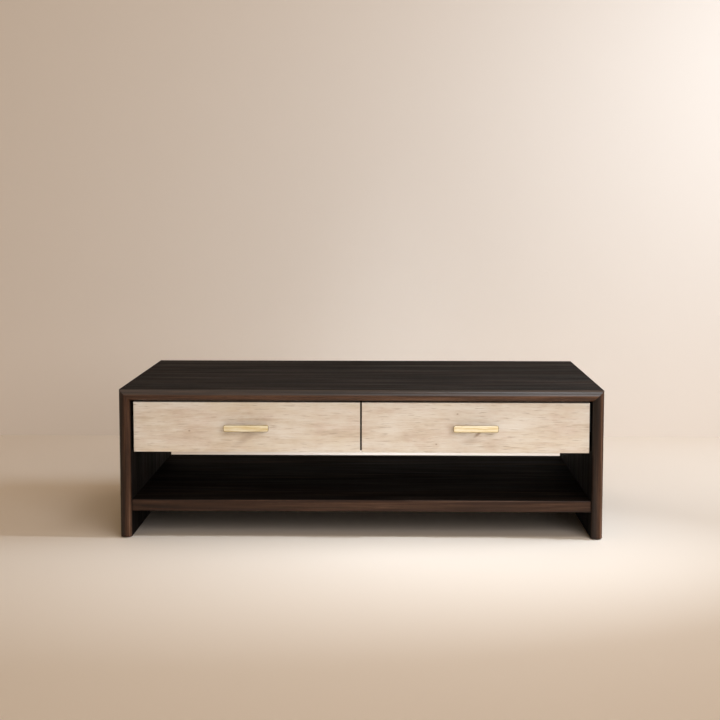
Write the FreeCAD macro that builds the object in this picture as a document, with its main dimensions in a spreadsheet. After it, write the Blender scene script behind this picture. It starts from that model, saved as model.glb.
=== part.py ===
import FreeCAD, Part
import os
import re
import Sketcher

# A low coffee table: a mitred frame of top and sides, a full-depth shelf, and two
# drawers side by side on ball-bearing runners. Millimetres; +X right, front at -Y,
# +Z up, origin on the floor under the middle of the frame.

document = FreeCAD.newDocument("CoffeeTable")

# Sizes that a designer sets by themselves.
SIZES = (
    # Frame of veneered panels with solid rounded lippings on the front and rear edges
    ("table_width", 1400),
    ("table_depth", 840),
    ("table_height", 435),
    ("panel_thickness", 33),
    ("lipping_depth", 24),
    ("corner_radius", 2),
    ("spline_thickness", 4),
    ("spline_width", 24),
    ("spline_end_inset", 30),
    # Nailed glides under the side panels
    ("glide_diameter", 22),
    ("glide_height", 3),
    ("glide_inset", 60),
    ("glide_pin_diameter", 5),
    ("glide_pin_length", 18),
    # Shelf
    ("shelf_thickness", 33),
    ("shelf_top_height", 110),
    ("shelf_setback", 20),
    ("shelf_lipping_depth", 12),
    ("shelf_edge_radius", 2),
    ("shelf_dowel_diameter", 10),
    ("shelf_dowel_length", 40),
    # Drawer bay behind the fronts
    ("bay_floor_rise", 3),
    ("bay_floor_thickness", 15),
    ("divider_thickness", 22),
    ("back_thickness", 15),
    ("back_setback", 28),
    ("dowel_diameter", 8),
    ("dowel_length", 30),
    # Drawer fronts
    ("side_reveal", 7),
    ("top_reveal", 5),
    ("front_gap", 5),
    ("front_height", 146),
    ("front_thickness", 20),
    ("front_setback", 20),
    ("front_edge_radius", 1.5),
    ("front_screw_inset", 40),
    ("bumper_diameter", 8),
    ("bumper_thickness", 2),
    ("bumper_inset", 60),
    # Drawer boxes
    ("box_floor_clearance", 10),
    ("box_top_clearance", 19),
    ("box_rear_margin", 6),
    ("box_side_thickness", 14),
    ("box_end_thickness", 14),
    ("bottom_thickness", 6),
    ("bottom_rise", 9),
    ("groove_depth", 6),
    # Runners
    ("runner_length", 600),
    ("runner_height", 45),
    ("runner_thickness", 12.7),
    ("runner_sheet", 1),
    ("runner_front_gap", 4),
    ("runner_head_gap", 2),
    ("runner_flange_gap", 0.8),
    ("ball_diameter", 3.2),
    ("ball_play", 0.1),
    ("ball_pitch", 24),
    ("cage_thickness", 0.8),
    ("cage_rim", 0.8),
    ("cage_end", 10),
    # Pulls
    ("pull_length", 130),
    ("pull_height", 20),
    ("pull_depth", 11),
    ("pull_end_radius", 5.5),
    ("pull_face_radius", 2.5),
    ("pull_post_inset", 17),
    ("pull_post_diameter", 10),
    ("pull_standoff", 20),
    # Screws
    ("rail_screw_diameter", 3.5),
    ("rail_screw_length", 16),
    ("runner_screw_diameter", 3.5),
    ("runner_screw_head_diameter", 7),
    ("runner_screw_head_height", 1.5),
    ("runner_screw_stagger", 16),
    ("front_screw_diameter", 4),
    ("front_screw_length", 27),
    ("pull_screw_diameter", 4),
    ("pull_screw_bite", 10),
    ("screw_head_diameter", 8),
    ("screw_head_height", 2.5),
    # Fits
    ("fit_clearance", 0.1),
    ("overrun", 5),
)

# Counts and shares of the sizes that they follow.
BALLS_PER_ROW = 6
TAILS = 3
SHELF_DOWEL_SHARES = (0.08, 0.36, 0.64, 0.92)
BAY_DOWEL_SHARES = (0.1, 0.37, 0.63, 0.9)
BACK_DOWEL_SHARES = (0.3, 0.7)
DIVIDER_DOWEL_SHARES = (0.12, 0.5, 0.88)
RUNNER_SCREW_SHARES = (0.06, 0.5, 0.9)
FRONT_SCREW_SHARES = (0.2, 0.8)

# Places and sizes that follow from the sizes above.
PLACES = (
    # Frame
    ("half_width", "table_width / 2"),
    ("inner_half_width", "half_width - panel_thickness"),
    ("nose_radius", "panel_thickness / 2"),
    ("front_nose", "-table_depth / 2"),
    ("rear_nose", "table_depth / 2"),
    ("panel_front", "front_nose + lipping_depth"),
    ("panel_rear", "rear_nose - lipping_depth"),
    ("panel_depth", "panel_rear - panel_front"),
    ("top_underside", "table_height - panel_thickness"),
    ("panel_middle", "half_width - panel_thickness / 2"),
    # A corner arc of the frame ends half way on the mitre
    ("corner_centre_across", "half_width - corner_radius"),
    ("corner_centre_up", "table_height - corner_radius"),
    ("corner_mitre_across", "corner_centre_across + corner_radius * sqrt(1 / 2)"),
    ("corner_mitre_up", "corner_centre_up + corner_radius * sqrt(1 / 2)"),
    ("spline_share", "3 / 10"),
    ("spline_across", "inner_half_width + spline_share * panel_thickness"),
    ("spline_up", "top_underside + spline_share * panel_thickness"),
    ("spline_front", "panel_front + spline_end_inset"),
    ("spline_length", "panel_depth - 2 * spline_end_inset"),
    # Shelf
    ("shelf_bottom", "shelf_top_height - shelf_thickness"),
    ("shelf_front", "front_nose + shelf_setback"),
    ("shelf_rear", "rear_nose - shelf_setback"),
    ("shelf_panel_front", "shelf_front + shelf_lipping_depth"),
    ("shelf_panel_rear", "shelf_rear - shelf_lipping_depth"),
    ("shelf_middle_height", "shelf_top_height - shelf_thickness / 2"),
    # Drawer fronts and the bay behind them
    ("front_top", "top_underside - top_reveal"),
    ("front_bottom", "front_top - front_height"),
    ("front_middle_height", "front_top - front_height / 2"),
    ("front_width", "inner_half_width - side_reveal - front_gap / 2"),
    ("front_face", "front_nose + front_setback"),
    ("front_back", "front_face + front_thickness"),
    ("bay_floor_bottom", "front_bottom + bay_floor_rise"),
    ("bay_floor_top", "bay_floor_bottom + bay_floor_thickness"),
    ("bay_floor_middle", "bay_floor_bottom + bay_floor_thickness / 2"),
    ("bay_front", "front_back + bumper_thickness"),
    ("back_rear", "rear_nose - back_setback"),
    ("back_front", "back_rear - back_thickness"),
    ("back_middle", "back_rear - back_thickness / 2"),
    ("back_height", "top_underside - bay_floor_bottom"),
    ("bay_depth", "back_front - bay_front"),
    ("bay_width", "inner_half_width - divider_thickness / 2"),
    ("floor_dowel_bite_share", "6 / 10"),
    ("floor_dowel_length", "2 * bay_floor_thickness * floor_dowel_bite_share"),
    # Drawer boxes
    ("box_bottom", "bay_floor_top + box_floor_clearance"),
    ("box_top", "top_underside - box_top_clearance"),
    ("box_height", "box_top - box_bottom"),
    ("box_half_width", "bay_width / 2 - runner_thickness"),
    ("box_inner_half_width", "box_half_width - box_side_thickness"),
    ("box_rear", "front_back + runner_front_gap + runner_length + box_rear_margin"),
    ("box_inner_front", "front_back + box_end_thickness"),
    ("box_inner_rear", "box_rear - box_end_thickness"),
    ("bottom_low", "box_bottom + bottom_rise"),
    ("bottom_high", "bottom_low + bottom_thickness"),
    ("tail_pitch", "box_height / %d" % TAILS),
    ("tail_end_share", "62 / 100"),
    ("tail_root_share", "44 / 100"),
    # Runner cross-section, measured from the wall that carries the rail
    ("runner_middle_height", "(box_bottom + box_top) / 2"),
    ("runner_front", "front_back + runner_front_gap"),
    ("runner_rear", "runner_front + runner_length"),
    ("ball_gap", "ball_diameter + 2 * ball_play"),
    ("rail_half_height", "runner_height / 2"),
    ("slider_half_height", "rail_half_height - runner_sheet - ball_gap"),
    ("runner_half_height", "slider_half_height - runner_sheet - ball_gap"),
    ("slider_web", "runner_sheet + runner_head_gap"),
    ("slider_web_end", "slider_web + runner_sheet"),
    ("flange_reach", "runner_thickness - runner_sheet - runner_flange_gap"),
    ("runner_flange_start", "slider_web_end + runner_flange_gap"),
    ("runner_web", "runner_thickness - runner_sheet"),
    ("outer_ball_offset", "(slider_web + flange_reach) / 2"),
    ("inner_ball_offset", "(slider_web_end + runner_web) / 2"),
    ("outer_ball_rise", "rail_half_height - runner_sheet - ball_gap / 2"),
    ("inner_ball_rise", "slider_half_height - runner_sheet - ball_gap / 2"),
    ("row_length", "ball_pitch * %d" % (BALLS_PER_ROW - 1)),
    ("row_start", "runner_front + (runner_length - row_length) / 2"),
    ("cage_width", "ball_diameter + 2 * (ball_play + cage_rim)"),
    ("runner_screw_bite_share", "7 / 10"),
    ("runner_screw_length", "runner_sheet + box_side_thickness * runner_screw_bite_share"),
    # Pulls
    ("pull_back", "front_face - pull_standoff"),
    ("pull_front", "pull_back - pull_depth"),
    ("pull_half_length", "pull_length / 2"),
    ("pull_half_height", "pull_height / 2"),
    ("pull_corner_across", "pull_half_length - pull_end_radius"),
    ("pull_corner_up", "pull_half_height - pull_end_radius"),
    ("pull_post_offset", "pull_half_length - pull_post_inset"),
    ("pull_screw_length", "box_end_thickness + front_thickness + pull_screw_bite"),
)

# Turns that lay a piece made along +Z along another direction.
ACROSS = FreeCAD.Vector(0, 1, 0)
ALONG = FreeCAD.Vector(1, 0, 0)
TURNS = {
    "+x": FreeCAD.Rotation(ACROSS, 90),
    "-x": FreeCAD.Rotation(ACROSS, -90),
    "+y": FreeCAD.Rotation(ALONG, -90),
    "-y": FreeCAD.Rotation(ALONG, 90),
    "+z": FreeCAD.Rotation(),
}

qualified_names = {}
subparts = []


def fill_sheet(name, rows):
    """Make a sheet with one aliased cell for each row's value or formula."""
    sheet = document.addObject("Spreadsheet::Sheet", name)
    for number, (alias, value) in enumerate(rows, 1):
        text = str(value) if not isinstance(value, str) else "=" + qualified(value)
        sheet.set("A%d" % number, alias)
        sheet.set("B%d" % number, text)
        sheet.setAlias("B%d" % number, alias)
        qualified_names[alias] = name + "." + alias
    return sheet


def qualified(expression):
    """Put the sheet's name before each alias of an expression."""
    return re.sub(r"[a-z_]+", lambda word: qualified_names.get(word[0], word[0]), expression)


def bind(item, **expressions):
    """Bind properties of an object to the sheets."""
    for name, expression in expressions.items():
        item.setExpression(name, qualified(expression))
    return item


def place(item, x, y, z, direction="+z"):
    """Turn an object and bind its position to the sheets."""
    item.Placement = FreeCAD.Placement(FreeCAD.Vector(), TURNS[direction])
    for axis, expression in zip("xyz", (x, y, z)):
        item.setExpression("Placement.Base." + axis, qualified(expression))
    return item


def keep(item, node):
    """Name an object as one of the table's pieces."""
    item.Label = node
    subparts.append(item)
    return item


def block(x, y, z):
    """A box between a low and a high place on each axis."""
    box = document.addObject("Part::Box", "Block")
    sides = zip(("Length", "Width", "Height"), (x, y, z))
    bind(box, **{side: "(%s) - (%s)" % (high, low) for side, (low, high) in sides})
    return place(box, x[0], y[0], z[0])


def rod(radius, length):
    """A cylinder along +Z from the origin."""
    return bind(document.addObject("Part::Cylinder", "Rod"), Radius=radius, Height=length)


def fuse(*pieces):
    """One solid of several that overlap or meet."""
    joined = document.addObject("Part::MultiFuse", "Joined")
    joined.Shapes = pieces
    joined.Refine = True
    return joined


def group(pieces):
    """Several separate solids as one object."""
    together = document.addObject("Part::Compound", "Together")
    together.Links = pieces
    return together


def cut(base, *tools):
    """A piece less everything in the tools."""
    result = document.addObject("Part::Cut", "Cut")
    result.Base = base
    result.Tool = tools[0] if len(tools) == 1 else group(tools)
    return result


def common(first, second):
    """What two shapes share."""
    shared = document.addObject("Part::Common", "Shared")
    shared.Base = first
    shared.Tool = second
    return shared


def copies(master, places):
    """Copies of one master solid, each at (x, y, z, direction)."""
    links = []
    for spot in places:
        link = document.addObject("App::Link", "Copy")
        link.LinkedObject = master
        links.append(place(link, *spot))
    return group(links)


def pin(sketch, name, kind, geometry, point, expression):
    """Fix one coordinate of a sketch point by an expression."""
    constraint = Sketcher.Constraint(kind, -1, 1, geometry, point, worth(expression))
    sketch.renameConstraint(sketch.addConstraint(constraint), name)
    sketch.setExpression("Constraints." + name, qualified(expression))


def worth(expression):
    """The number that an expression comes to now."""
    return float(places_sheet.evalExpression(qualified(expression)))


def padded(corners, length, rear, arcs=None):
    """Pad an upright outline, seen from the front, towards the front from its rear place.

    The corners are (across, up) expressions. arcs gives, by the number of the corner
    where an arc starts, the arc's centre.
    """
    body = document.addObject("PartDesign::Body", "Body")
    sketch = body.newObject("Sketcher::SketchObject", "Outline")
    planes = body.Origin.OriginFeatures
    upright = next(plane for plane in planes if getattr(plane, "Role", "") == "XZ_Plane")
    sketch.AttachmentSupport = [(upright, "")]
    sketch.MapMode = "FlatFace"
    points = [FreeCAD.Vector(worth(across), worth(up), 0) for across, up in corners]
    for number, start in enumerate(points):
        end = points[(number + 1) % len(points)]
        if arcs and number in arcs:
            centre = FreeCAD.Vector(*map(worth, arcs[number]), 0)
            outward = (start + end) / 2 - centre
            outward.normalize()
            halfway = centre + outward * start.distanceToPoint(centre)
            sketch.addGeometry(Part.Arc(start, halfway, end))
        else:
            sketch.addGeometry(Part.LineSegment(start, end))
    for number, (across, up) in enumerate(corners):
        following = (number + 1) % len(corners)
        sketch.addConstraint(Sketcher.Constraint("Coincident", number, 2, following, 1))
        pin(sketch, "across%d" % number, "DistanceX", number, 1, across)
        pin(sketch, "up%d" % number, "DistanceY", number, 1, up)
        if arcs and number in arcs:
            pin(sketch, "centre%d" % number, "DistanceX", number, 3, arcs[number][0])
    pad = body.newObject("PartDesign::Pad", "Length")
    pad.Profile = sketch
    bind(pad, Length=length)
    place(body, "0", rear, "0")
    document.recompute()
    return body


def soften(body, radius, face="front", level_only=False):
    """Round the edges of a padded body's front or rear face, or only those that run level."""
    base = body.Tip
    middle = base.Shape.BoundBox.Center.y
    edges = []
    for number, edge in enumerate(base.Shape.Edges, 1):
        limits = edge.BoundBox
        on_face = limits.YMax < middle if face == "front" else limits.YMin > middle
        upright = limits.ZLength > limits.XLength
        if on_face and not (level_only and upright):
            edges.append("Edge%d" % number)
    rounding = body.newObject("PartDesign::Fillet", "Softened")
    rounding.Base = (base, edges)
    bind(rounding, Radius=radius)
    document.recompute()
    return body


def screw(diameter, length, head_diameter, head_height):
    """A screw driven along +Z, its head seated at the origin, and the hole it needs."""
    shank = rod(diameter + " / 2", length)
    head = place(rod(head_diameter + " / 2", head_height), "0", "0", "-" + head_height)
    hole_length = "%s + fit_clearance + overrun" % length
    hole = place(rod(diameter + " / 2 + fit_clearance", hole_length), "0", "0", "-overrun")
    return fuse(shank, head), group([hole])


def dowel(diameter, length):
    """A dowel centred on the origin along Z, and the hole it needs."""
    half = "-(%s) / 2" % length
    peg = place(rod(diameter + " / 2", length), "0", "0", half)
    hole_length = "%s + 2 * fit_clearance" % length
    hole_start = half + " - fit_clearance"
    hole = place(rod(diameter + " / 2 + fit_clearance", hole_length), "0", "0", hole_start)
    return group([peg]), group([hole])


def along(low, length, share):
    """The place at a share of a length."""
    return "%s + %s * %s" % (low, length, share)


fill_sheet("Sizes", SIZES)
places_sheet = fill_sheet("Places", PLACES)
document.recompute()

SIDES = (("left", -1), ("right", 1))

# Fasteners, each made once and copied to its places.
shelf_dowel, shelf_dowel_hole = dowel("shelf_dowel_diameter", "shelf_dowel_length")
bay_dowel, bay_dowel_hole = dowel("dowel_diameter", "dowel_length")
floor_dowel, floor_dowel_hole = dowel("dowel_diameter", "floor_dowel_length")
rail_screw, rail_screw_hole = screw(
    "rail_screw_diameter",
    "rail_screw_length",
    "runner_screw_head_diameter",
    "runner_screw_head_height",
)
runner_screw, runner_screw_hole = screw(
    "runner_screw_diameter",
    "runner_screw_length",
    "runner_screw_head_diameter",
    "runner_screw_head_height",
)
front_screw, front_screw_hole = screw(
    "front_screw_diameter", "front_screw_length", "screw_head_diameter", "screw_head_height"
)
pull_screw, pull_screw_hole = screw(
    "pull_screw_diameter", "pull_screw_length", "screw_head_diameter", "screw_head_height"
)

# Places of the dowels: x on the joint, y along the depth, z at the piece's middle.
shelf_dowel_places = {}
bay_dowel_places = {}
for side, hand in SIDES:
    joint = "%d * inner_half_width" % hand
    shelf_dowel_places[side] = [
        (joint, along("panel_front", "panel_depth", share), "shelf_middle_height", "+x")
        for share in SHELF_DOWEL_SHARES
    ]
    bay_dowel_places[side] = [
        (joint, along("bay_front", "bay_depth", share), "bay_floor_middle", "+x")
        for share in BAY_DOWEL_SHARES
    ] + [
        (joint, "back_middle", along("bay_floor_bottom", "back_height", share), "+x")
        for share in BACK_DOWEL_SHARES
    ]
divider_ys = [along("bay_front", "bay_depth", share) for share in DIVIDER_DOWEL_SHARES]
top_dowel_places = [("0", y, "top_underside", "+z") for y in divider_ys]
floor_dowel_places = [("0", y, "bay_floor_top", "+z") for y in divider_ys]
all_bay_dowel_places = bay_dowel_places["left"] + bay_dowel_places["right"] + top_dowel_places
all_shelf_dowel_places = shelf_dowel_places["left"] + shelf_dowel_places["right"]
keep(copies(shelf_dowel, all_shelf_dowel_places), "shelf_dowels")
carcass_pegs = [copies(bay_dowel, all_bay_dowel_places), copies(floor_dowel, floor_dowel_places)]
keep(group(carcass_pegs), "carcass_dowels")


def spline(hand, slack):
    """A strip square to the mitre of one side, larger all round by the slack."""
    strip = document.addObject("Part::Box", "Spline")
    bind(strip, Length="spline_width + 2 * " + slack)
    bind(strip, Width="spline_length + 2 * " + slack)
    bind(strip, Height="spline_thickness + 2 * " + slack)
    strip.Placement.Rotation = FreeCAD.Rotation(ACROSS, -45 * hand)
    half_width = "(spline_width / 2 + %s) * sqrt(1 / 2)" % slack
    half_thickness = "(spline_thickness / 2 + %s) * sqrt(1 / 2)" % slack
    across = "%d * (spline_across + %s) - %s" % (hand, half_thickness, half_width)
    up = "spline_up - %d * %s - %s" % (hand, half_width, half_thickness)
    for axis, expression in zip("xyz", (across, "spline_front - " + slack, up)):
        strip.setExpression("Placement.Base." + axis, qualified(expression))
    return strip


# Splines lie square to the mitres, in slots that are half in the top and half in the sides.
keep(group([spline(hand, "0") for side, hand in SIDES]), "mitre_splines")
spline_slots = {side: spline(hand, "fit_clearance") for side, hand in SIDES}

# Outlines of the frame's three members, seen from the front.
frame_outlines = {
    "top": (
        [
            ("-inner_half_width", "top_underside"),
            ("inner_half_width", "top_underside"),
            ("corner_mitre_across", "corner_mitre_up"),
            ("corner_centre_across", "table_height"),
            ("-corner_centre_across", "table_height"),
            ("-corner_mitre_across", "corner_mitre_up"),
        ],
        {
            2: ("corner_centre_across", "corner_centre_up"),
            4: ("-corner_centre_across", "corner_centre_up"),
        },
    )
}
frame_outlines["right"] = (
    [
        ("inner_half_width", "glide_height"),
        ("half_width", "glide_height"),
        ("half_width", "corner_centre_up"),
        ("corner_mitre_across", "corner_mitre_up"),
        ("inner_half_width", "top_underside"),
    ],
    {2: ("corner_centre_across", "corner_centre_up")},
)
frame_outlines["left"] = (
    [
        ("-half_width", "glide_height"),
        ("-inner_half_width", "glide_height"),
        ("-inner_half_width", "top_underside"),
        ("-corner_mitre_across", "corner_mitre_up"),
        ("-half_width", "corner_centre_up"),
    ],
    {3: ("-corner_centre_across", "corner_centre_up")},
)

# Glides: a disc with a pin that is driven into the side panel's underside.
glide_disc = rod("glide_diameter / 2", "glide_height")
glide_reach = "glide_height + glide_pin_length"
glide_pin = rod("glide_pin_diameter / 2", glide_reach)
glide = fuse(glide_disc, glide_pin)
glide_hole = rod("glide_pin_diameter / 2 + fit_clearance", glide_reach + " + fit_clearance")
glide_places = {}
for side, hand in SIDES:
    under = "%d * panel_middle" % hand
    glide_places[side] = [
        (under, "panel_front + glide_inset", "0"),
        (under, "panel_rear - glide_inset", "0"),
    ]
keep(copies(glide, glide_places["left"] + glide_places["right"]), "glides")

# Rail screws go through each rail into a side panel or the divider. Those on the two
# faces of the divider are staggered along the depth, so that they miss each other.
RAILS = (
    ("left_bay_left_rail", "-inner_half_width", 1),
    ("left_bay_right_rail", "-divider_thickness / 2", -1),
    ("right_bay_left_rail", "divider_thickness / 2", 1),
    ("right_bay_right_rail", "inner_half_width", -1),
)
rail_screw_places = {}
for node, wall, hand in RAILS:
    shift = " + runner_screw_stagger" if hand > 0 else ""
    rail_screw_places[node] = [
        (
            "%s + %d * runner_sheet" % (wall, hand),
            along("runner_front", "runner_length", share) + shift,
            "runner_middle_height",
            "-x" if hand > 0 else "+x",
        )
        for share in RUNNER_SCREW_SHARES
    ]
keep(copies(rail_screw, sum(rail_screw_places.values(), [])), "rail_screws")

# Top and side panels: mitred boards between the lippings.
board = padded(frame_outlines["top"][0], "panel_depth", "panel_rear", frame_outlines["top"][1])
top_holes = copies(bay_dowel_hole, top_dowel_places)
keep(cut(board, top_holes, spline_slots["left"], spline_slots["right"]), "top_panel")
for side, hand in SIDES:
    corners, arcs = frame_outlines[side]
    board = padded(corners, "panel_depth", "panel_rear", arcs)
    rail = "left_bay_left_rail" if hand < 0 else "right_bay_right_rail"
    side_panel = cut(
        board,
        copies(shelf_dowel_hole, shelf_dowel_places[side]),
        copies(bay_dowel_hole, bay_dowel_places[side]),
        copies(rail_screw_hole, rail_screw_places[rail]),
        copies(glide_hole, glide_places[side]),
        spline_slots[side],
    )
    keep(side_panel, side + "_side_panel")

# Lippings: strips with a half-round nose, mitred with each other like the panels.
for end, nose, inward, rear in (
    ("front", "front_nose", 1, "panel_front"),
    ("rear", "rear_nose", -1, "rear_nose"),
):
    centre = "%s + %d * nose_radius" % (nose, inward)
    seat = "%s + %d * lipping_depth" % (nose, inward)
    straight = (centre, seat) if inward > 0 else (seat, centre)
    bar_length = "table_width + 2 * overrun"
    bar_start = "-half_width - overrun"
    middle = "table_height - nose_radius"
    round_nose = place(rod("nose_radius", bar_length), bar_start, centre, middle, "+x")
    across = (bar_start, "half_width + overrun")
    strip = fuse(round_nose, block(across, straight, ("top_underside", "table_height")))
    mitred = padded(frame_outlines["top"][0], "lipping_depth", rear, frame_outlines["top"][1])
    keep(common(mitred, strip), "top_%s_lipping" % end)
    for side, hand in SIDES:
        upright = "%d * panel_middle" % hand
        round_nose = place(rod("nose_radius", "table_height"), upright, centre, "glide_height")
        across = (upright + " - nose_radius", upright + " + nose_radius")
        strip = fuse(round_nose, block(across, straight, ("glide_height", "table_height")))
        corners, arcs = frame_outlines[side]
        mitred = padded(corners, "lipping_depth", rear, arcs)
        keep(common(mitred, strip), "%s_%s_lipping" % (side, end))

# Shelf between the side panels, with square edge strips.
shelf_across = ("-inner_half_width", "inner_half_width")
shelf_board = block(
    shelf_across, ("shelf_panel_front", "shelf_panel_rear"), ("shelf_bottom", "shelf_top_height")
)
keep(cut(shelf_board, copies(shelf_dowel_hole, all_shelf_dowel_places)), "shelf_panel")
shelf_edge = [
    ("-inner_half_width", "shelf_bottom"),
    ("inner_half_width", "shelf_bottom"),
    ("inner_half_width", "shelf_top_height"),
    ("-inner_half_width", "shelf_top_height"),
]
for end, rear in (("front", "shelf_panel_front"), ("rear", "shelf_rear")):
    edge_strip = padded(shelf_edge, "shelf_lipping_depth", rear)
    keep(soften(edge_strip, "shelf_edge_radius", end, level_only=True), "shelf_%s_lipping" % end)

# Drawer bay: floor, divider and back, glued on dowels.
bay_floor = block(shelf_across, ("bay_front", "back_front"), ("bay_floor_bottom", "bay_floor_top"))
bay_floor_holes = copies(bay_dowel_hole, bay_dowel_places["left"] + bay_dowel_places["right"])
divider_floor_holes = copies(floor_dowel_hole, floor_dowel_places)
keep(cut(bay_floor, bay_floor_holes, divider_floor_holes), "bay_floor")
divider = block(
    ("-divider_thickness / 2", "divider_thickness / 2"),
    ("bay_front", "back_front"),
    ("bay_floor_top", "top_underside"),
)
divider_cuts = (
    copies(bay_dowel_hole, top_dowel_places),
    divider_floor_holes,
    copies(rail_screw_hole, rail_screw_places["left_bay_right_rail"]),
    copies(rail_screw_hole, rail_screw_places["right_bay_left_rail"]),
)
keep(cut(divider, *divider_cuts), "centre_divider")
back_board = block(shelf_across, ("back_front", "back_rear"), ("bay_floor_bottom", "top_underside"))
keep(cut(back_board, bay_floor_holes), "back_panel")


def channel(wall, hand, web, web_inside, reach, half_height):
    """A sheet-steel channel along a runner; its depths are measured from the rail's wall."""
    inside = half_height + " - runner_sheet"
    profile = (
        (web, "-", half_height),
        (reach, "-", half_height),
        (reach, "-", inside),
        (web_inside, "-", inside),
        (web_inside, "+", inside),
        (reach, "+", inside),
        (reach, "+", half_height),
        (web, "+", half_height),
    )
    corners = []
    for depth, sign, rise in profile:
        across = "%s + %d * (%s)" % (wall, hand, depth)
        corners.append((across, "runner_middle_height %s (%s)" % (sign, rise)))
    return padded(corners, "runner_length", "runner_rear")


# Ball row: a flat cage strip with balls that it traps loosely in its holes.
half_cage = "cage_width / 2"
strip = block(
    ("-" + half_cage, half_cage),
    ("-cage_end", "row_length + cage_end"),
    ("-cage_thickness / 2", "cage_thickness / 2"),
)
ball = bind(document.addObject("Part::Sphere", "Ball"), Radius="ball_diameter / 2")
ball_hole = rod("ball_diameter / 2 + ball_play", "2 * ball_diameter")
ball_ys = ["ball_pitch * %d" % number for number in range(BALLS_PER_ROW)]
hole_places = [("0", y, "-ball_diameter") for y in ball_ys]
ball_places = [("0", y, "0") for y in ball_ys]
ball_row = group([cut(strip, copies(ball_hole, hole_places)), copies(ball, ball_places)])

# Rails, sliders and ball cages of each bay.
for side in ("left", "right"):
    outer_rows = []
    inner_rows = []
    for node, wall, hand in RAILS:
        if not node.startswith(side):
            continue
        rail = channel(wall, hand, "0", "runner_sheet", "flange_reach", "rail_half_height")
        keep(cut(rail, copies(rail_screw_hole, rail_screw_places[node])), node)
        slider = channel(
            wall, hand, "slider_web", "slider_web_end", "flange_reach", "slider_half_height"
        )
        keep(slider, node.replace("rail", "slider"))
        for sign in "+-":
            for rows, name in ((outer_rows, "outer"), (inner_rows, "inner")):
                across = "%s + %d * %s_ball_offset" % (wall, hand, name)
                up = "runner_middle_height %s %s_ball_rise" % (sign, name)
                rows.append((across, "row_start", up))
    keep(copies(ball_row, outer_rows), side + "_outer_ball_cages")
    keep(copies(ball_row, inner_rows), side + "_inner_ball_cages")


def spread(middle, half):
    """The low and high place at half a width on either side of a middle."""
    return ("%s - %s" % (middle, half), "%s + %s" % (middle, half))


def dovetails(span, end):
    """The tails at one end of a drawer side, each wider at the board's end than at its root."""
    start, finish, first_share, last_share = {
        "front": ("front_back", "box_inner_front", "tail_end_share", "tail_root_share"),
        "back": ("box_inner_rear", "box_rear", "tail_root_share", "tail_end_share"),
    }[end]
    tails = []
    for number in range(TAILS):
        tail = document.addObject("Part::Wedge", "Tail")
        bind(tail, Xmin=span[0], X2min=span[0], Xmax=span[1], X2max=span[1])
        bind(tail, Ymin=start, Ymax=finish)
        middle = "box_bottom + tail_pitch * (2 * %d + 1) / 2" % number
        low, high = spread(middle, "tail_pitch * %s / 2" % first_share)
        bind(tail, Zmin=low, Zmax=high)
        low, high = spread(middle, "tail_pitch * %s / 2" % last_share)
        bind(tail, Z2min=low, Z2max=high)
        tails.append(tail)
    return tails


def drawer_front(middle, *holes):
    """The pale front board, its edges softened on the face."""
    left, right = spread(middle, "front_width / 2")
    outline = [
        (left, "front_bottom"),
        (right, "front_bottom"),
        (right, "front_top"),
        (left, "front_top"),
    ]
    board = padded(outline, "front_thickness", "front_back")
    return cut(soften(board, "front_edge_radius"), *holes)


def pull_bar(middle):
    """The bar of a pull: rounded corners seen from the front, and a softened face."""
    outline = []
    arcs = {}
    for number, (across, up) in enumerate(((1, -1), (1, 1), (-1, 1), (-1, -1))):
        corner_across = "%s + %d * pull_corner_across" % (middle, across)
        corner_up = "front_middle_height + %d * pull_corner_up" % up
        level = (corner_across, "front_middle_height + %d * pull_half_height" % up)
        upright = ("%s + %d * pull_half_length" % (middle, across), corner_up)
        arcs[2 * number] = (corner_across, corner_up)
        outline += [level, upright] if across * up < 0 else [upright, level]
    bar = padded(outline, "pull_depth", "pull_back", arcs)
    return soften(bar, "pull_face_radius")


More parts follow.
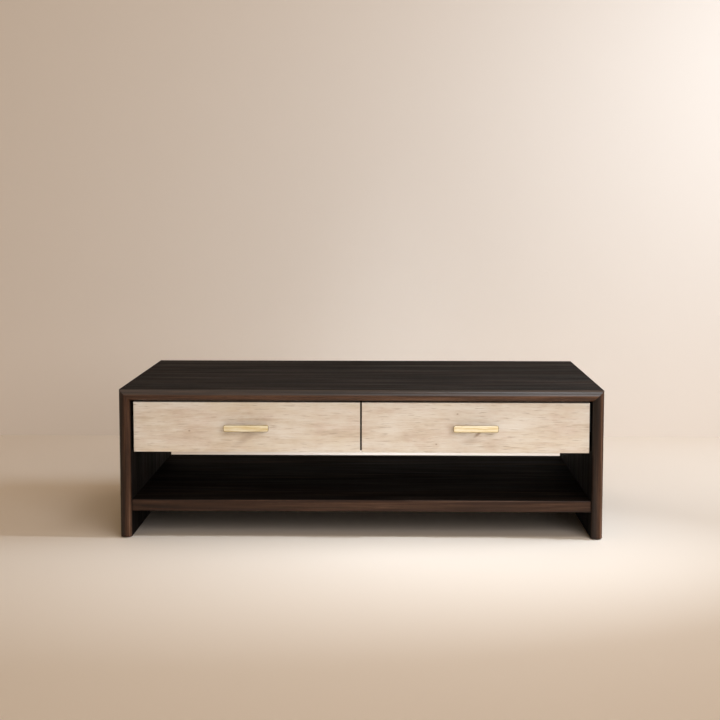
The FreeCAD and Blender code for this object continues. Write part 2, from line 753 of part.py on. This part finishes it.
# Drawers: a front, a dovetailed box with its bottom in grooves, the runners and the pull.
pull_post = rod("pull_post_diameter / 2", "pull_standoff")
bumper = rod("bumper_diameter / 2", "bumper_thickness")
box_up = ("box_bottom", "box_top")
inner_along = ("box_inner_front", "box_inner_rear")
groove_along = ("box_inner_front - groove_depth", "box_inner_rear + groove_depth")
bottom_up = ("bottom_low", "bottom_high")
for side, hand in SIDES:
    box_middle = "%d * (divider_thickness + bay_width) / 2" % hand
    front_middle = "%d * (front_gap + front_width) / 2" % hand

    # Screws from inside the box, through its front, into the drawer front and the pull's posts
    screw_xs = spread(box_middle, "(box_inner_half_width - front_screw_inset)")
    screw_zs = [along("box_bottom", "box_height", share) for share in FRONT_SCREW_SHARES]
    front_screw_places = [(x, "box_inner_front", z, "-y") for x in screw_xs for z in screw_zs]
    post_xs = spread(front_middle, "pull_post_offset")
    pull_screw_places = [(x, "box_inner_front", "front_middle_height", "-y") for x in post_xs]
    front_holes = copies(front_screw_hole, front_screw_places)
    pull_holes = copies(pull_screw_hole, pull_screw_places)
    keep(copies(front_screw, front_screw_places), side + "_front_screws")
    keep(copies(pull_screw, pull_screw_places), side + "_pull_screws")

    # Front and pull
    keep(drawer_front(front_middle, front_holes, pull_holes), side + "_drawer_front")
    post_places = [(x, "front_face", "front_middle_height", "-y") for x in post_xs]
    keep(cut(copies(pull_post, post_places), pull_holes), side + "_pull_posts")
    keep(pull_bar(front_middle), side + "_pull_bar")

    # Bumpers on the back of the front, where it meets the edge of the bay floor
    bumper_xs = spread(front_middle, "(front_width / 2 - bumper_inset)")
    bumper_places = [(x, "front_back", "bay_floor_middle", "+y") for x in bumper_xs]
    keep(copies(bumper, bumper_places), side + "_bumpers")

    # Bottom panel in grooves, its corners notched clear of the dovetails
    inner_across = spread(box_middle, "box_inner_half_width")
    groove_across = spread(box_middle, "(box_inner_half_width + groove_depth)")
    wide_panel = block(groove_across, inner_along, bottom_up)
    long_panel = block(inner_across, groove_along, bottom_up)
    keep(fuse(wide_panel, long_panel), side + "_drawer_bottom")

    # Sides with their tails, and the runners that are screwed to them
    sockets = {"front": [], "back": []}
    runner_screw_places = []
    for wall, wall_hand in SIDES:
        outer = "%s + %d * box_half_width" % (box_middle, wall_hand)
        inner = "%s + %d * box_inner_half_width" % (box_middle, wall_hand)
        span = (outer, inner) if wall_hand < 0 else (inner, outer)
        front_tails = dovetails(span, "front")
        back_tails = dovetails(span, "back")
        sockets["front"] += front_tails
        sockets["back"] += back_tails
        board = fuse(block(span, inner_along, box_up), *front_tails, *back_tails)
        seat = "%s + %d * runner_sheet" % (outer, wall_hand)
        inward = "+x" if wall_hand < 0 else "-x"
        screw_ys = [along("runner_front", "runner_length", share) for share in RUNNER_SCREW_SHARES]
        seats = [(seat, y, "runner_middle_height", inward) for y in screw_ys]
        runner_screw_places += seats
        screw_holes = copies(runner_screw_hole, seats)
        keep(cut(board, wide_panel, screw_holes), "%s_drawer_%s_side" % (side, wall))
        runner = channel(
            "%s + %d * bay_width / 2" % (box_middle, wall_hand),
            -wall_hand,
            "runner_thickness",
            "runner_web",
            "runner_flange_start",
            "runner_half_height",
        )
        keep(cut(runner, screw_holes), "%s_drawer_%s_runner" % (side, wall))
    keep(copies(runner_screw, runner_screw_places), side + "_runner_screws")

    # Front and back of the box, socketed for the tails
    box_across = spread(box_middle, "box_half_width")
    box_front = block(box_across, ("front_back", "box_inner_front"), box_up)
    box_front_cuts = (group(sockets["front"]), long_panel, front_holes, pull_holes)
    keep(cut(box_front, *box_front_cuts), side + "_drawer_box_front")
    box_back = block(box_across, ("box_inner_rear", "box_rear"), box_up)
    keep(cut(box_back, group(sockets["back"]), long_panel), side + "_drawer_back")

document.recompute()

# Nothing is written unless every object and every piece came out sound.
failed = [item.Name for item in document.Objects if {"Invalid", "Error"} & set(item.State)]
unsound = [piece.Label for piece in subparts if piece.Shape.isNull() or not piece.Shape.isValid()]
if failed or unsound:
    raise RuntimeError("failed objects %s, unsound pieces %s" % (failed, unsound))
os.makedirs("parts", exist_ok=True)
for piece in subparts:
    piece.Shape.exportStep("parts/%s.step" % piece.Label)
print(len(subparts), "pieces")
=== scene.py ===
import math

import bpy
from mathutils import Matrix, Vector

# A low coffee table with two drawers: a dark mitred frame, an open shelf, and two pale
# drawer fronts with brass pulls. Metres; +X right, front at -Y, +Z up from the floor.
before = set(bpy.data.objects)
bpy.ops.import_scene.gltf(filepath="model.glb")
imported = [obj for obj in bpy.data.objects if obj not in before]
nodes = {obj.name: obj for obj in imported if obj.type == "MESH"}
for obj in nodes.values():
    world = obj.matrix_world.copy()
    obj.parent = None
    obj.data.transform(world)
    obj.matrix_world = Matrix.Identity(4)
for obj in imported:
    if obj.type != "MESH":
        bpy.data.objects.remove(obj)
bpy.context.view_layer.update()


# Top and side panels: boards faced with dark stained veneer, mitred at the upper corners.
# The leaves of veneer run along the top and fall down the sides, under satin lacquer.
class Shade:
    """A socket of a material's nodes: sums on it add Math nodes, node() adds any other."""

    def __init__(self, tree, socket=None):
        self.tree = tree
        self.socket = socket

    def node(self, kind, settings=None, inputs=None, output=0):
        """Add a node, give it its settings, then the values or links of its sockets."""
        made = self.tree.nodes.new("ShaderNode" + kind)
        for name, value in (settings or {}).items():
            if name == "stops":
                stops = made.color_ramp.elements
                for number, (place, code) in enumerate(value):
                    stop = stops[number] if number < len(stops) else stops.new(place)
                    stop.position = place
                    stop.color = paint(code)
            else:
                setattr(made, name, value)
        for name, value in (inputs or {}).items():
            if isinstance(value, Shade):
                self.tree.links.new(value.socket, made.inputs[name])
            else:
                made.inputs[name].default_value = value
        return Shade(self.tree, made.outputs[output])

    def out(self, output):
        """Another output of the node that this socket belongs to."""
        return Shade(self.tree, self.socket.node.outputs[output])

    def math(self, operation, first, second=0.0):
        """A Math node on one value or two."""
        return self.node("Math", {"operation": operation}, {0: first, 1: second})

    def __add__(self, other):
        return self.math("ADD", self, other)

    def __radd__(self, other):
        return self.math("ADD", other, self)

    def __sub__(self, other):
        return self.math("SUBTRACT", self, other)

    def __rsub__(self, other):
        return self.math("SUBTRACT", other, self)

    def __mul__(self, other):
        return self.math("MULTIPLY", self, other)

    def __rmul__(self, other):
        return self.math("MULTIPLY", other, self)

    def __truediv__(self, other):
        return self.math("DIVIDE", self, other)

    def __abs__(self):
        return self.math("ABSOLUTE", self)

    def hypot(self, other):
        """The distance that two distances at right angles make."""
        return self.math("SQRT", self * self + other * other)

    def rise(self, low, high):
        """From 0 at low to 1 at high, eased at both ends; high may be the lower one."""
        span = {1: low, 2: high, 3: 0.0, 4: 1.0}
        settings = {"interpolation_type": "SMOOTHSTEP"}
        return self.node("MapRange", settings, {0: self, **span})

    def mix(self, first, second):
        """A colour between two, by this socket from 0 to 1."""
        settings = {"data_type": "RGBA", "clamp_factor": True}
        return self.node("Mix", settings, {0: self, 6: first, 7: second}, 2)

    def ramp(self, stops):
        """A colour from stops, each a place from 0 to 1 and six hex digits."""
        return self.node("ValToRGB", {"stops": stops}, {0: self})

    def bump(self, strength, distance):
        """A normal from this height, whose whole range stands for a distance."""
        inputs = {"Strength": strength, "Distance": distance, "Height": self}
        return self.node("Bump", inputs=inputs)

    def noise(self, place, scales, detail=2.0, roughness=0.5):
        """Noise from 0 to 1 at a place, with so many patches to the metre each way."""
        spot = [distance * scale for distance, scale in zip(place, scales)]
        vector = self.node("CombineXYZ", inputs=dict(enumerate(spot)))
        inputs = {"Vector": vector, "Scale": 1.0, "Detail": detail, "Roughness": roughness}
        return self.node("TexNoise", {"noise_dimensions": "3D"}, inputs)


def paint(code):
    """A colour written as six hex digits, in linear values by the sRGB curve."""
    parts = [int(code[start:start + 2], 16) / 255 for start in (0, 2, 4)]
    curve = [part / 12.92 if part < 0.04 else ((part + 0.055) / 1.055) ** 2.4 for part in parts]
    return [*curve, 1.0]


def finish(name):
    """A new material: it, a bare Shade in its nodes, and its shader's input sockets."""
    material = bpy.data.materials.new(name)
    material.use_nodes = True
    tree = material.node_tree
    return material, Shade(tree), tree.nodes["Principled BSDF"].inputs


def dress(material, *names):
    """Give CAD nodes a finish."""
    for name in names:
        nodes[name].material_slots[0].material = material


def feed(sockets, **values):
    """Link values that vary over the surface, or set those that don't, by socket name."""
    for name, value in values.items():
        socket = sockets[name.replace("_", " ")]
        if isinstance(value, Shade):
            value.tree.links.new(value.socket, socket)
        else:
            socket.default_value = value


def board(shade, grain):
    """Distances along the grain, across the board and through it, for axes such as "xyz"."""
    place = shade.node("TexCoord", output="Object")
    split = shade.node("SeparateXYZ", inputs={0: place})
    return [split.out(axis.upper()) for axis in grain]


def rings(place, heart, gap, lean, waver):
    """Growth rings from 0 to 1, a gap apart, round a heart that leans off along the board."""
    along, across, through = place
    radius = (across - heart[0]).hypot(through - heart[1] + along * lean)
    return radius.math("SINE", (radius / gap + waver) * math.tau) * 0.5 + 0.5


LEAF = 0.264
LEAF_SLIP = 0.37
LEAF_STEP = 0.011
RUB_KEPT_IN_PAINTED_SHADE = 0.25
LOST_GLOSS = 0.55
DEEP_STAIN = ((0.08, "0a0806"), (0.40, "15100d"), (0.62, "231b16"), (0.95, "42332a"))
THIN_STAIN = ((0.08, "2a1b12"), (0.40, "472f21"), (0.62, "5f4331"), (0.95, "83604b"))


def espresso(
    name, grain, heart, leaf=None, painted_shade_depth=0.0, sheen=0.05,
    rubbed=None, thinned=1.0, gloss=1.0, painted_lit_side=None,
):
    """Dark stained wood: growth rings, fibres and open pores.

    Heart is the middle of the rings, off the board, and leaf the width of a leaf of veneer.
    Depth deepens the stain as painted shade, and sheen is that of the flat faces. Rubbed is two
    distances from the middle of the table, out through the board: from the first to the second
    one the stain is thinned and redder and the lacquer glossier. The painted lit side is two
    places across the board: on the way from the first to the second one the stain gets thinner
    and the gloss weaker. This is painted light on the half of a nose that the light falls on,
    and painted shade on the other half.
    """
    material, shade, sockets = finish(name)
    along, across, through = board(shade, grain)
    if rubbed:
        worn = abs(through).rise(*rubbed)
        rub_and_painted_light = worn * thinned
        coat = worn * gloss
        # Painted light: one half of the nose keeps the thin red stain as if lit, and the other
        # half is darkened as if shaded.
        if painted_lit_side:
            low = across.rise(*painted_lit_side)
            rub_and_painted_light = rub_and_painted_light * (RUB_KEPT_IN_PAINTED_SHADE + low * (1 - RUB_KEPT_IN_PAINTED_SHADE))
            coat = coat * (1 - low * LOST_GLOSS)
    if leaf:
        number = shade.math("FLOOR", across / leaf)
        across = across - (number + 0.5) * leaf
        along = along + number * LEAF_SLIP
        through = through + number * LEAF_STEP
    place = along, across, through
    wander = shade.noise(place, (1.3, 3, 3)) - 0.5
    waver = shade.noise(place, (2, 30, 30))
    wavy = along, across + wander * 0.06, through
    ring = rings(wavy, heart, gap=0.017, lean=0.035, waver=waver * 1.3)
    flame = shade.noise(place, (0.9, 12, 12), detail=6, roughness=0.68)
    streak = shade.noise(place, (2.2, 80, 80), detail=4, roughness=0.65)
    fibre = shade.noise(place, (6, 320, 320), roughness=0.6)
    haze = shade.noise(place, (2.2, 26, 26), detail=4, roughness=0.65)
    pore = shade.noise(place, (38, 1500, 1500), detail=1).rise(0.60, 0.72)
    tone = ring * 0.16 + flame * 1.25 + streak * 1.15 + fibre * 0.60 - 1.14 - painted_shade_depth
    colour = tone.ramp(DEEP_STAIN)
    if rubbed:
        colour = rub_and_painted_light.mix(colour, tone.ramp(THIN_STAIN))
        feed(sockets, Coat_Weight=coat, Coat_Roughness=0.28)
    colour = (pore * 0.7).mix(colour, paint("0b0705"))
    rough = 0.32 + haze * 0.80 + fibre * 0.14 + pore * 0.1
    height = fibre * 0.4 + streak * 0.3 + ring * 0.2 - pore
    relief = height.bump(strength=0.35, distance=0.0004)
    feed(sockets, Base_Color=colour, Roughness=rough, Normal=relief)
    feed(sockets, Specular_IOR_Level=sheen)
    return material


dress(espresso("espresso_top", "xyz", (0.03, 0.30), leaf=LEAF), "top_panel")
for side, heart in (("left", (-0.02, -1.05)), ("right", (0.04, 1.05))):
    # The sides' stain is deepened as painted shade, for their inner faces that stand in the
    # shade of the shelf space.
    veneer = espresso("espresso_%s_side" % side, "zyx", heart, leaf=LEAF, painted_shade_depth=0.12)
    dress(veneer, side + "_side_panel")

# Lippings: solid strips of the same stained wood, glued to the front and rear edges of the
# panels, rounded to a nose and mitred with each other. The stain is rubbed thin on the nose.
NOSE = (0.4055, 0.4125)
# Painted light: the lower half of the top noses is paler and redder as if lit by the floor's
# bounce. The half of each side nose that faces right is painted the same way, as if lit from the
# right. Their other halves are darker, as painted shade.
TOP_PAINTED_LIT_SIDE = (0.4225, 0.4165)
LEFT_PAINTED_LIT_SIDE = (-0.692, -0.678)
RIGHT_PAINTED_LIT_SIDE = (0.678, 0.692)
for end in ("front", "rear"):
    lipping = "top_%s_lipping" % end
    strip = espresso("espresso_" + lipping, "xzy", (0.60, -0.36), rubbed=NOSE, painted_lit_side=TOP_PAINTED_LIT_SIDE)
    dress(strip, lipping)
    for side, heart, flank in (
        ("left", (-0.62, -0.50), LEFT_PAINTED_LIT_SIDE),
        ("right", (0.64, -0.47), RIGHT_PAINTED_LIT_SIDE),
    ):
        lipping = "%s_%s_lipping" % (side, end)
        strip = espresso(
            "espresso_" + lipping, "zxy", heart,
            rubbed=NOSE, thinned=0.9, gloss=0.45, painted_lit_side=flank,
        )
        dress(strip, lipping)

# Splines in the mitres and dowels in the butt joints: beech, sawn into strips and turned
# into rods, glued into grooves and bored holes.
material, shade, sockets = finish("beech")
place = board(shade, "yxz")
fleck = shade.noise(place, (60, 420, 420), detail=1).rise(0.55, 0.70)
fibre = shade.noise(place, (8, 260, 260), detail=3)
colour = (fibre * 0.8).mix(paint("d3b088"), paint("bd9468"))
colour = (fleck * 0.6).mix(colour, paint("9c7348"))
feed(sockets, Base_Color=colour, Roughness=0.55 + fibre * 0.15)
dress(material, "mitre_splines", "shelf_dowels", "carcass_dowels")

# Shelf: a veneered board between the side panels, held on dowels, with solid strips on its
# front and rear edges whose arrises are eased.
FACE = (0.3972, 0.3992)
dress(espresso("espresso_shelf", "xyz", (0.02, 0.42), leaf=LEAF, sheen=0.01), "shelf_panel")
for end, heart in (("front", (0.32, -0.45)), ("rear", (0.32, 0.55))):
    strip = espresso("espresso_shelf_" + end, "xzy", heart, rubbed=FACE, thinned=0.62, gloss=0.3)
    dress(strip, "shelf_%s_lipping" % end)

# Drawer bay: the floor, centre divider and back that carry the drawers, boards veneered like
# the frame and held on dowels.
dress(espresso("espresso_bay_floor", "xyz", (0.05, 0.55), leaf=LEAF), "bay_floor")
dress(espresso("espresso_divider", "yzx", (0.60, 0.30)), "centre_divider")
dress(espresso("espresso_back", "xzy", (0.62, 0.05)), "back_panel")

# Glides: moulded nylon discs that carry the side panels clear of the floor, each with a pin
# that is driven up into its panel.
material, shade, sockets = finish("dark_nylon")
speckle = shade.noise(board(shade, "xyz"), (900, 900, 900))
colour = speckle.mix(paint("191512"), paint("2a2420"))
relief = speckle.bump(strength=0.2, distance=0.0002)
feed(sockets, Base_Color=colour, Roughness=0.45 + speckle * 0.15, Normal=relief)
dress(material, "glides")

# Runners: rolled channels of black zinc-plated steel, one screwed to the bay and one to the
# drawer, with a slider between them that rolls on rows of caged balls. The table's screws
# have the same plating.
SIDES = ("left", "right")
material, shade, sockets = finish("black_zinc")
place = board(shade, "yxz")
rolled = shade.noise(place, (14, 1500, 1500), detail=3, roughness=0.6)
bloom = shade.noise(place, (40, 55, 55), detail=4, roughness=0.6)
colour = bloom.rise(0.3, 0.7).mix(paint("333336"), paint("47464a"))
rough = 0.26 + rolled * 0.14 + bloom * 0.08
relief = rolled.bump(strength=0.15, distance=0.0002)
feed(sockets, Base_Color=colour, Roughness=rough, Normal=relief, Metallic=1.0)
for side in SIDES:
    for hand in SIDES:
        dress(material, "%s_bay_%s_rail" % (side, hand), "%s_bay_%s_slider" % (side, hand))
        dress(material, "%s_drawer_%s_runner" % (side, hand))
    dress(material, side + "_outer_ball_cages", side + "_inner_ball_cages")
    dress(material, side + "_runner_screws", side + "_front_screws", side + "_pull_screws")
dress(material, "rail_screws")


# Drawer boxes: pale birch boards, dovetailed at the corners, with a thin plywood bottom
# in grooves; sanded and clear lacquered.
def facing(shade, axis):
    """How far the surface faces along an axis of the table, from -1 to 1."""
    normal = shade.node("NewGeometry", output="Normal")
    return shade.node("SeparateXYZ", inputs={0: normal}).out(axis.upper())


BIRCH = ((0.15, "e0c8a4"), (0.55, "d2b48b"), (0.95, "b99469"))


def birch(name, grain, heart):
    """Clear lacquered birch: soft rings, silky fibres, darker where the grain is cut across."""
    material, shade, sockets = finish(name)
    place = board(shade, grain)
    along, across, through = place
    wander = shade.noise(place, (1.5, 4, 4)) - 0.5
    wavy = along, across + wander * 0.03, through
    ring = rings(wavy, heart, gap=0.007, lean=0.03, waver=wander * 2)
    fibre = shade.noise(place, (6, 190, 190), detail=3, roughness=0.6)
    cloud = shade.noise(place, (3, 16, 16), detail=3)
    end = abs(facing(shade, grain[0])).rise(0.7, 0.9)
    tone = ring * 0.30 + fibre * 0.45 + cloud * 0.35
    colour = (end * 0.55).mix(tone.ramp(BIRCH), paint("94683f"))
    rough = 0.42 + fibre * 0.12 + end * 0.15
    relief = fibre.bump(strength=0.2, distance=0.0003)
    feed(sockets, Base_Color=colour, Roughness=rough, Normal=relief)
    return material


side_birch = birch("birch_sides", "yzx", (0.18, 0.09))
end_birch = birch("birch_ends", "xzy", (0.16, 0.12))
ply_birch = birch("birch_bottom", "xyz", (0.05, 0.20))
for side in SIDES:
    dress(side_birch, side + "_drawer_left_side", side + "_drawer_right_side")
    dress(end_birch, side + "_drawer_box_front", side + "_drawer_back")
    dress(ply_birch, side + "_drawer_bottom")

# Drawer fronts: solid boards of limed wood with the grain laid level, small knots left in,
# arrises eased; screwed to the boxes from inside.
LIMED = ((0.12, "f0e9de"), (0.42, "e7dccd"), (0.62, "dccdb9"), (0.92, "bfaa91"))
SWIRL_SIZE = 5.0
SWIRL_BEND = 0.75


def limed(name, heart, knots, marks):
    """Limed wood, with knots that the grain bends round, and soft darker marks.

    A knot is its x and z, half its length and half its height, and its swirl is so many times
    larger. A mark is these four, then its slope along the board and its strength.
    """
    material, shade, sockets = finish(name)
    flat = board(shade, "xzy")
    along, across, through = flat
    knot = swirl = mark = 0.0
    flow = across
    for x, z, length, height in knots:
        reach = ((along - x) / length).hypot((across - z) / height)
        near = reach.rise(SWIRL_SIZE, 0.0)
        knot = shade.math("MAXIMUM", knot, reach.rise(1.0, 0.3))
        swirl = shade.math("MAXIMUM", swirl, near)
        flow = flow - (across - z) * near * SWIRL_BEND
    for x, z, length, height, slope, strength in marks:
        above = across - z - (along - x) * slope
        reach = ((along - x) / length).hypot(above / height)
        mark = shade.math("MAXIMUM", mark, reach.rise(1.0, 0.0) * strength)
    wander = shade.noise((along, flow, through), (1.7, 6, 6)) - 0.5
    place = along, flow + wander * 0.016, through
    waver = shade.noise(place, (3, 40, 40), detail=3)
    ring = rings(place, heart, gap=0.019, lean=0.05, waver=waver * 2.2)
    band = shade.noise(place, (4.5, 22, 22), detail=5, roughness=0.7)
    streak = shade.noise(place, (8, 95, 95), detail=5, roughness=0.72)
    dash = shade.noise(place, (22, 360, 360)).rise(0.58, 0.72)
    lime = shade.noise(place, (16, 700, 700), detail=1).rise(0.56, 0.70)
    cloud = shade.noise(flat, (7, 13, 13), detail=4, roughness=0.65)
    aside = along + 2.0, across, through
    gold = shade.noise(aside, (3.5, 11, 11), detail=3, roughness=0.6).rise(0.48, 0.72)
    tone = band * 1.10 + streak * 0.90 + ring * 0.06 + cloud * 0.85 - 1.015
    colour = tone.ramp(LIMED)
    for share, code in (
        (cloud.rise(0.45, 0.75) * 0.45, "dfc9bc"),
        (gold * 0.25, "ddc8a2"),
        (mark * (0.45 + streak), "9b7c60"),
        (dash * 0.60, "a58d72"),
        (lime * 0.45, "f1ebe1"),
        (swirl * 0.22, "c3a88a"),
        (knot * 0.55, "98795b"),
    ):
        colour = share.mix(colour, paint(code))
    height = lime * 0.5 - dash + streak * 0.4 - knot
    relief = height.bump(strength=0.35, distance=0.0005)
    feed(sockets, Base_Color=colour, Roughness=0.56 + streak * 0.14, Normal=relief)
    feed(sockets, Specular_IOR_Level=0.3)
    return material


left_knots = ((-0.498, 0.313, 0.0045, 0.0035),)
# Each mark lies just below a pull, darker than the wood round it.
left_marks = ((-0.338, 0.289, 0.048, 0.020, 0.6, 0.40),)
right_knots = (
    (0.279, 0.364, 0.004, 0.003),
    (0.218, 0.2755, 0.004, 0.003),
)
right_marks = (
    (0.336, 0.303, 0.021, 0.008, 0.75, 0.70),
    (0.316, 0.286, 0.045, 0.018, 0.2, 0.33),
)
dress(limed("limed_left", (0.42, -0.33), left_knots, left_marks), "left_drawer_front")
dress(limed("limed_right", (0.24, -0.47), right_knots, right_marks), "right_drawer_front")

# Pulls: a brass bar on two posts, each held by a screw from inside the drawer; its face is
# brushed along its length, under lacquer, and its edges are darkened with painted shade.
material, shade, sockets = finish("satin_brass")
place = board(shade, "xyz")
brush = shade.noise(place, (45, 3200, 3200))
tarnish = shade.noise(place, (16, 60, 170), detail=3, roughness=0.6)
toward = facing(shade, "y")
face = toward.rise(-0.72, -0.96)
flank = abs(toward).rise(0.45, 0.15)
painted_shade_edge = (1 - face) * (1 - flank * 0.65)
colour = tarnish.rise(0.35, 0.65).mix(paint("f4ebd0"), paint("dcc898"))
# Painted shade: the rounded edges of the bar are darkened, and its top, bottom and ends less so,
# as if shaded.
colour = painted_shade_edge.mix(colour, paint("7a5f30"))
rough = 0.34 + brush * 0.10 + tarnish * 0.08
relief = brush.bump(strength=0.12, distance=0.0002)
feed(sockets, Base_Color=colour, Roughness=rough, Normal=relief, Metallic=1.0)
for side in SIDES:
    dress(material, side + "_pull_bar", side + "_pull_posts")

# Bumpers: small dots of soft grey rubber stuck to the back of each front, which meet the edge
# of the bay floor when the drawer is shut.
material, shade, sockets = finish("grey_rubber")
bloom = shade.noise(board(shade, "xyz"), (300, 300, 300))
colour = bloom.mix(paint("8f8b86"), paint("a5a19b"))
feed(sockets, Base_Color=colour, Roughness=0.5 + bloom * 0.2)
dress(material, "left_bumpers", "right_bumpers")


# Floor and wall: a plain pale floor, and a plain wall behind the table; both are seen from
# their fronts only, so that they don't hide the table from behind or from below.
def sheet(name, corners, colour, roughness):
    """A plain surface of the studio, whose front is the side where its corners turn left."""
    mesh = bpy.data.meshes.new(name)
    mesh.from_pydata(corners, [], [range(len(corners))])
    surface = bpy.data.objects.new(name, mesh)
    bpy.context.collection.objects.link(surface)
    material, shade, sockets = finish(name)
    feed(sockets, Base_Color=paint(colour), Roughness=roughness, Specular_IOR_Level=0.2)
    tree = material.node_tree
    behind = shade.node("NewGeometry", output="Backfacing")
    solid = Shade(tree, tree.nodes["Principled BSDF"].outputs[0])
    clear = shade.node("BsdfTransparent")
    seen = shade.node("MixShader", inputs={0: behind, 1: solid, 2: clear})
    feed(tree.nodes["Material Output"].inputs, Surface=seen)
    mesh.materials.append(material)


REACH = 5.0
WALL = 1.54
ground = [(-REACH, -REACH, 0), (REACH, -REACH, 0), (REACH, REACH, 0), (-REACH, REACH, 0)]
upright = [(-REACH, WALL, 0), (REACH, WALL, 0), (REACH, WALL, REACH), (-REACH, WALL, REACH)]
sheet("floor", ground, "ebdccb", 0.85)
sheet("wall", upright, "e9ddd0", 0.95)

# Light: a large soft lamp in front, one above that pools on the floor, a small one on the
# right that gives the table's shadow its edge, and one each for the wall and the floor behind.
AMBIENT = 0.33
WARM = (1.0, 1.0, 1.05)
DAY = (0.96, 1.0, 1.05)
SKY = (0.83, 1.0, 1.21)
scene = bpy.context.scene
world = bpy.data.worlds.new("studio")
world.use_nodes = True
scene.world = world
tree = world.node_tree
shade = Shade(tree)
path = shade.node("LightPath", output="Is Camera Ray")
shown = shade.math("MAXIMUM", path, path.out("Is Glossy Ray"))
shown = shade.math("MAXIMUM", shown, path.out("Is Transmission Ray"))
background = tree.nodes["Background"].inputs
feed(background, Color=shown.mix(paint("f3d3a2"), paint("e6dacb")))
feed(background, Strength=AMBIENT + shown * (1 - AMBIENT))
# Each lamp: name, place, aim, width, spread in degrees, power in watts, tint.
for name, spot, target, size, spread, power, tint in (
    ("fill", (2.2, -5.9, 2.6), (0.0, 0.0, 0.25), 4.2, 180, 178.0, WARM),
    ("key", (0.85, -1.3, 3.0), (0.22, -0.8, 0.0), 1.0, 58, 2.4, DAY),
    ("window", (3.4, -0.68, 2.7), (0.05, -0.64, 0.0), 0.12, 26, 2.5, SKY),
    ("wall_lamp", (2.6, 0.1, 2.2), (0.0, 1.35, 0.2), 1.6, 110, 25.0, SKY),
    ("rear_lamp", (0.1, 0.98, 2.4), (0.1, 1.08, 0.0), 0.3, 36, 1.15, SKY),
):
    lamp = bpy.data.lights.new(name, "AREA")
    lamp.shape = "DISK"
    lamp.size = size
    lamp.spread = math.radians(spread)
    lamp.energy = power
    lamp.color = tint
    stand = bpy.data.objects.new(name, lamp)
    stand.location = spot
    stand.rotation_euler = (Vector(target) - Vector(spot)).to_track_quat("-Z", "Y").to_euler()
    bpy.context.collection.objects.link(stand)

# Camera: a long lens a little above the table and almost straight in front of it, where the
# table's corners fall in the picture as they do in the photograph.
camera = bpy.data.objects.new("camera", bpy.data.cameras.new("camera"))
camera.data.lens = 76.15
camera.location = (0.0793, -4.7629, 0.9709)
camera.rotation_euler = [math.radians(angle) for angle in (84.106, -0.03, 1.08)]
bpy.context.collection.objects.link(camera)
scene.camera = camera
scene.view_settings.view_transform = "Standard"
